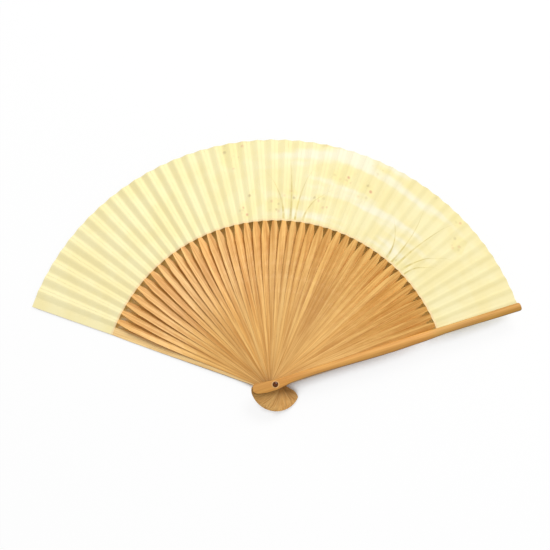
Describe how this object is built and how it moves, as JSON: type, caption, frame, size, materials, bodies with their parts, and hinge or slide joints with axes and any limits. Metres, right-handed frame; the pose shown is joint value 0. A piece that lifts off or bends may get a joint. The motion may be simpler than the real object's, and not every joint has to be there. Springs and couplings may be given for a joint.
{
  "type": "folding fan",
  "caption": "Open folding fan: thin bamboo ribs and two guards on one rivet, with a pleated pale yellow paper leaf that folds as the front guard is turned shut.",
  "frame": {"origin": "on the rivet's axis, in the plane of the back guard's outer face, where the rivet's end is flush with it", "axes": "+Z along the rivet from the back guard to the front guard, +Y from the rivet to the middle of the open leaf, +X to the side of the front guard's tip"},
  "size_m": [0.3608, 0.2073, 0.0177],
  "materials": {
    "guard_bamboo": "satin",
    "rib_bamboo": "satin",
    "leaf_paper": "matte",
    "rivet": "gloss"
  },
  "bodies": {
    "back_guard": {"back_guard": "guard_bamboo", "rivet_pin": "rivet", "rivet_washer": "rivet", "leaf_front": "leaf_paper", "leaf_back": "leaf_paper"},
    "rib_01": {"rib_01": "rib_bamboo"},
    "rib_02": {"rib_02": "rib_bamboo"},
    "rib_03": {"rib_03": "rib_bamboo"},
    "rib_04": {"rib_04": "rib_bamboo"},
    "rib_05": {"rib_05": "rib_bamboo"},
    "rib_06": {"rib_06": "rib_bamboo"},
    "rib_07": {"rib_07": "rib_bamboo"},
    "rib_08": {"rib_08": "rib_bamboo"},
    "rib_09": {"rib_09": "rib_bamboo"},
    "rib_10": {"rib_10": "rib_bamboo"},
    "rib_11": {"rib_11": "rib_bamboo"},
    "rib_12": {"rib_12": "rib_bamboo"},
    "rib_13": {"rib_13": "rib_bamboo"},
    "rib_14": {"rib_14": "rib_bamboo"},
    "rib_15": {"rib_15": "rib_bamboo"},
    "rib_16": {"rib_16": "rib_bamboo"},
    "rib_17": {"rib_17": "rib_bamboo"},
    "rib_18": {"rib_18": "rib_bamboo"},
    "rib_19": {"rib_19": "rib_bamboo"},
    "rib_20": {"rib_20": "rib_bamboo"},
    "rib_21": {"rib_21": "rib_bamboo"},
    "rib_22": {"rib_22": "rib_bamboo"},
    "rib_23": {"rib_23": "rib_bamboo"},
    "rib_24": {"rib_24": "rib_bamboo"},
    "rib_25": {"rib_25": "rib_bamboo"},
    "rib_26": {"rib_26": "rib_bamboo"},
    "rib_27": {"rib_27": "rib_bamboo"},
    "rib_28": {"rib_28": "rib_bamboo"},
    "rib_29": {"rib_29": "rib_bamboo"},
    "rib_30": {"rib_30": "rib_bamboo"},
    "rib_31": {"rib_31": "rib_bamboo"},
    "rib_32": {"rib_32": "rib_bamboo"},
    "rib_33": {"rib_33": "rib_bamboo"},
    "rib_34": {"rib_34": "rib_bamboo"},
    "rib_35": {"rib_35": "rib_bamboo"},
    "rib_36": {"rib_36": "rib_bamboo"},
    "rib_37": {"rib_37": "rib_bamboo"},
    "rib_38": {"rib_38": "rib_bamboo"},
    "rib_39": {"rib_39": "rib_bamboo"},
    "rib_40": {"rib_40": "rib_bamboo"},
    "rib_41": {"rib_41": "rib_bamboo"},
    "rib_42": {"rib_42": "rib_bamboo"},
    "rib_43": {"rib_43": "rib_bamboo"},
    "front_guard": {"front_guard": "guard_bamboo"}
  },
  "joints": [
    {"name": "front_guard_turn", "type": "hinge", "parent": "back_guard", "child": "front_guard", "pos_m": [0, 0, 0], "axis": [0, 0, 1], "range_deg": [0, 142], "deforming": ["leaf_front", "leaf_back"]},
    {"name": "rib_01_turn", "type": "hinge", "parent": "back_guard", "child": "rib_01", "pos_m": [0, 0, 0], "axis": [0, 0, 1], "range_deg": [0, 3.4]},
    {"name": "rib_02_turn", "type": "hinge", "parent": "back_guard", "child": "rib_02", "pos_m": [0, 0, 0], "axis": [0, 0, 1], "range_deg": [0, 6.8]},
    {"name": "rib_03_turn", "type": "hinge", "parent": "back_guard", "child": "rib_03", "pos_m": [0, 0, 0], "axis": [0, 0, 1], "range_deg": [0, 10.2]},
    {"name": "rib_04_turn", "type": "hinge", "parent": "back_guard", "child": "rib_04", "pos_m": [0, 0, 0], "axis": [0, 0, 1], "range_deg": [0, 13.59]},
    {"name": "rib_05_turn", "type": "hinge", "parent": "back_guard", "child": "rib_05", "pos_m": [0, 0, 0], "axis": [0, 0, 1], "range_deg": [0, 16.98]},
    {"name": "rib_06_turn", "type": "hinge", "parent": "back_guard", "child": "rib_06", "pos_m": [0, 0, 0], "axis": [0, 0, 1], "range_deg": [0, 20.37]},
    {"name": "rib_07_turn", "type": "hinge", "parent": "back_guard", "child": "rib_07", "pos_m": [0, 0, 0], "axis": [0, 0, 1], "range_deg": [0, 23.75]},
    {"name": "rib_08_turn", "type": "hinge", "parent": "back_guard", "child": "rib_08", "pos_m": [0, 0, 0], "axis": [0, 0, 1], "range_deg": [0, 27.12]},
    {"name": "rib_09_turn", "type": "hinge", "parent": "back_guard", "child": "rib_09", "pos_m": [0, 0, 0], "axis": [0, 0, 1], "range_deg": [0, 30.49]},
    {"name": "rib_10_turn", "type": "hinge", "parent": "back_guard", "child": "rib_10", "pos_m": [0, 0, 0], "axis": [0, 0, 1], "range_deg": [0, 33.85]},
    {"name": "rib_11_turn", "type": "hinge", "parent": "back_guard", "child": "rib_11", "pos_m": [0, 0, 0], "axis": [0, 0, 1], "range_deg": [0, 37.2]},
    {"name": "rib_12_turn", "type": "hinge", "parent": "back_guard", "child": "rib_12", "pos_m": [0, 0, 0], "axis": [0, 0, 1], "range_deg": [0, 40.55]},
    {"name": "rib_13_turn", "type": "hinge", "parent": "back_guard", "child": "rib_13", "pos_m": [0, 0, 0], "axis": [0, 0, 1], "range_deg": [0, 43.88]},
    {"name": "rib_14_turn", "type": "hinge", "parent": "back_guard", "child": "rib_14", "pos_m": [0, 0, 0], "axis": [0, 0, 1], "range_deg": [0, 47.21]},
    {"name": "rib_15_turn", "type": "hinge", "parent": "back_guard", "child": "rib_15", "pos_m": [0, 0, 0], "axis": [0, 0, 1], "range_deg": [0, 50.52]},
    {"name": "rib_16_turn", "type": "hinge", "parent": "back_guard", "child": "rib_16", "pos_m": [0, 0, 0], "axis": [0, 0, 1], "range_deg": [0, 53.82]},
    {"name": "rib_17_turn", "type": "hinge", "parent": "back_guard", "child": "rib_17", "pos_m": [0, 0, 0], "axis": [0, 0, 1], "range_deg": [0, 57.12]},
    {"name": "rib_18_turn", "type": "hinge", "parent": "back_guard", "child": "rib_18", "pos_m": [0, 0, 0], "axis": [0, 0, 1], "range_deg": [0, 60.4]},
    {"name": "rib_19_turn", "type": "hinge", "parent": "back_guard", "child": "rib_19", "pos_m": [0, 0, 0], "axis": [0, 0, 1], "range_deg": [0, 63.67]},
    {"name": "rib_20_turn", "type": "hinge", "parent": "back_guard", "child": "rib_20", "pos_m": [0, 0, 0], "axis": [0, 0, 1], "range_deg": [0, 66.93]},
    {"name": "rib_21_turn", "type": "hinge", "parent": "back_guard", "child": "rib_21", "pos_m": [0, 0, 0], "axis": [0, 0, 1], "range_deg": [0, 70.17]},
    {"name": "rib_22_turn", "type": "hinge", "parent": "back_guard", "child": "rib_22", "pos_m": [0, 0, 0], "axis": [0, 0, 1], "range_deg": [0, 73.41]},
    {"name": "rib_23_turn", "type": "hinge", "parent": "back_guard", "child": "rib_23", "pos_m": [0, 0, 0], "axis": [0, 0, 1], "range_deg": [0, 76.63]},
    {"name": "rib_24_turn", "type": "hinge", "parent": "back_guard", "child": "rib_24", "pos_m": [0, 0, 0], "axis": [0, 0, 1], "range_deg": [0, 79.83]},
    {"name": "rib_25_turn", "type": "hinge", "parent": "back_guard", "child": "rib_25", "pos_m": [0, 0, 0], "axis": [0, 0, 1], "range_deg": [0, 83.03]},
    {"name": "rib_26_turn", "type": "hinge", "parent": "back_guard", "child": "rib_26", "pos_m": [0, 0, 0], "axis": [0, 0, 1], "range_deg": [0, 86.22]},
    {"name": "rib_27_turn", "type": "hinge", "parent": "back_guard", "child": "rib_27", "pos_m": [0, 0, 0], "axis": [0, 0, 1], "range_deg": [0, 89.39]},
    {"name": "rib_28_turn", "type": "hinge", "parent": "back_guard", "child": "rib_28", "pos_m": [0, 0, 0], "axis": [0, 0, 1], "range_deg": [0, 92.55]},
    {"name": "rib_29_turn", "type": "hinge", "parent": "back_guard", "child": "rib_29", "pos_m": [0, 0, 0], "axis": [0, 0, 1], "range_deg": [0, 95.7]},
    {"name": "rib_30_turn", "type": "hinge", "parent": "back_guard", "child": "rib_30", "pos_m": [0, 0, 0], "axis": [0, 0, 1], "range_deg": [0, 98.84]},
    {"name": "rib_31_turn", "type": "hinge", "parent": "back_guard", "child": "rib_31", "pos_m": [0, 0, 0], "axis": [0, 0, 1], "range_deg": [0, 101.97]},
    {"name": "rib_32_turn", "type": "hinge", "parent": "back_guard", "child": "rib_32", "pos_m": [0, 0, 0], "axis": [0, 0, 1], "range_deg": [0, 105.09]},
    {"name": "rib_33_turn", "type": "hinge", "parent": "back_guard", "child": "rib_33", "pos_m": [0, 0, 0], "axis": [0, 0, 1], "range_deg": [0, 108.2]},
    {"name": "rib_34_turn", "type": "hinge", "parent": "back_guard", "child": "rib_34", "pos_m": [0, 0, 0], "axis": [0, 0, 1], "range_deg": [0, 111.3]},
    {"name": "rib_35_turn", "type": "hinge", "parent": "back_guard", "child": "rib_35", "pos_m": [0, 0, 0], "axis": [0, 0, 1], "range_deg": [0, 114.4]},
    {"name": "rib_36_turn", "type": "hinge", "parent": "back_guard", "child": "rib_36", "pos_m": [0, 0, 0], "axis": [0, 0, 1], "range_deg": [0, 117.48]},
    {"name": "rib_37_turn", "type": "hinge", "parent": "back_guard", "child": "rib_37", "pos_m": [0, 0, 0], "axis": [0, 0, 1], "range_deg": [0, 120.56]},
    {"name": "rib_38_turn", "type": "hinge", "parent": "back_guard", "child": "rib_38", "pos_m": [0, 0, 0], "axis": [0, 0, 1], "range_deg": [0, 123.64]},
    {"name": "rib_39_turn", "type": "hinge", "parent": "back_guard", "child": "rib_39", "pos_m": [0, 0, 0], "axis": [0, 0, 1], "range_deg": [0, 126.71]},
    {"name": "rib_40_turn", "type": "hinge", "parent": "back_guard", "child": "rib_40", "pos_m": [0, 0, 0], "axis": [0, 0, 1], "range_deg": [0, 129.77]},
    {"name": "rib_41_turn", "type": "hinge", "parent": "back_guard", "child": "rib_41", "pos_m": [0, 0, 0], "axis": [0, 0, 1], "range_deg": [0, 132.83]},
    {"name": "rib_42_turn", "type": "hinge", "parent": "back_guard", "child": "rib_42", "pos_m": [0, 0, 0], "axis": [0, 0, 1], "range_deg": [0, 135.89]},
    {"name": "rib_43_turn", "type": "hinge", "parent": "back_guard", "child": "rib_43", "pos_m": [0, 0, 0], "axis": [0, 0, 1], "range_deg": [0, 138.95]}
  ],
  "couplings": [
    {"joint": "rib_01_turn", "follows": "front_guard_turn", "ratio": 0.023933},
    {"joint": "rib_02_turn", "follows": "front_guard_turn", "ratio": 0.04786},
    {"joint": "rib_03_turn", "follows": "front_guard_turn", "ratio": 0.071775},
    {"joint": "rib_04_turn", "follows": "front_guard_turn", "ratio": 0.095671},
    {"joint": "rib_05_turn", "follows": "front_guard_turn", "ratio": 0.11954},
    {"joint": "rib_06_turn", "follows": "front_guard_turn", "ratio": 0.14338},
    {"joint": "rib_07_turn", "follows": "front_guard_turn", "ratio": 0.16719},
    {"joint": "rib_08_turn", "follows": "front_guard_turn", "ratio": 0.19096},
    {"joint": "rib_09_turn", "follows": "front_guard_turn", "ratio": 0.21467},
    {"joint": "rib_10_turn", "follows": "front_guard_turn", "ratio": 0.23834},
    {"joint": "rib_11_turn", "follows": "front_guard_turn", "ratio": 0.26195},
    {"joint": "rib_12_turn", "follows": "front_guard_turn", "ratio": 0.2855},
    {"joint": "rib_13_turn", "follows": "front_guard_turn", "ratio": 0.30898},
    {"joint": "rib_14_turn", "follows": "front_guard_turn", "ratio": 0.3324},
    {"joint": "rib_15_turn", "follows": "front_guard_turn", "ratio": 0.35574},
    {"joint": "rib_16_turn", "follows": "front_guard_turn", "ratio": 0.37901},
    {"joint": "rib_17_turn", "follows": "front_guard_turn", "ratio": 0.4022},
    {"joint": "rib_18_turn", "follows": "front_guard_turn", "ratio": 0.42531},
    {"joint": "rib_19_turn", "follows": "front_guard_turn", "ratio": 0.44833},
    {"joint": "rib_20_turn", "follows": "front_guard_turn", "ratio": 0.47127},
    {"joint": "rib_21_turn", "follows": "front_guard_turn", "ratio": 0.49413},
    {"joint": "rib_22_turn", "follows": "front_guard_turn", "ratio": 0.5169},
    {"joint": "rib_23_turn", "follows": "front_guard_turn", "ratio": 0.53959},
    {"joint": "rib_24_turn", "follows": "front_guard_turn", "ratio": 0.56218},
    {"joint": "rib_25_turn", "follows": "front_guard_turn", "ratio": 0.5847},
    {"joint": "rib_26_turn", "follows": "front_guard_turn", "ratio": 0.60713},
    {"joint": "rib_27_turn", "follows": "front_guard_turn", "ratio": 0.62947},
    {"joint": "rib_28_turn", "follows": "front_guard_turn", "ratio": 0.65174},
    {"joint": "rib_29_turn", "follows": "front_guard_turn", "ratio": 0.67392},
    {"joint": "rib_30_turn", "follows": "front_guard_turn", "ratio": 0.69604},
    {"joint": "rib_31_turn", "follows": "front_guard_turn", "ratio": 0.71808},
    {"joint": "rib_32_turn", "follows": "front_guard_turn", "ratio": 0.74005},
    {"joint": "rib_33_turn", "follows": "front_guard_turn", "ratio": 0.76195},
    {"joint": "rib_34_turn", "follows": "front_guard_turn", "ratio": 0.7838},
    {"joint": "rib_35_turn", "follows": "front_guard_turn", "ratio": 0.80558},
    {"joint": "rib_36_turn", "follows": "front_guard_turn", "ratio": 0.82732},
    {"joint": "rib_37_turn", "follows": "front_guard_turn", "ratio": 0.84901},
    {"joint": "rib_38_turn", "follows": "front_guard_turn", "ratio": 0.87066},
    {"joint": "rib_39_turn", "follows": "front_guard_turn", "ratio": 0.89227},
    {"joint": "rib_40_turn", "follows": "front_guard_turn", "ratio": 0.91385},
    {"joint": "rib_41_turn", "follows": "front_guard_turn", "ratio": 0.93541},
    {"joint": "rib_42_turn", "follows": "front_guard_turn", "ratio": 0.95695},
    {"joint": "rib_43_turn", "follows": "front_guard_turn", "ratio": 0.97848}
  ]
}
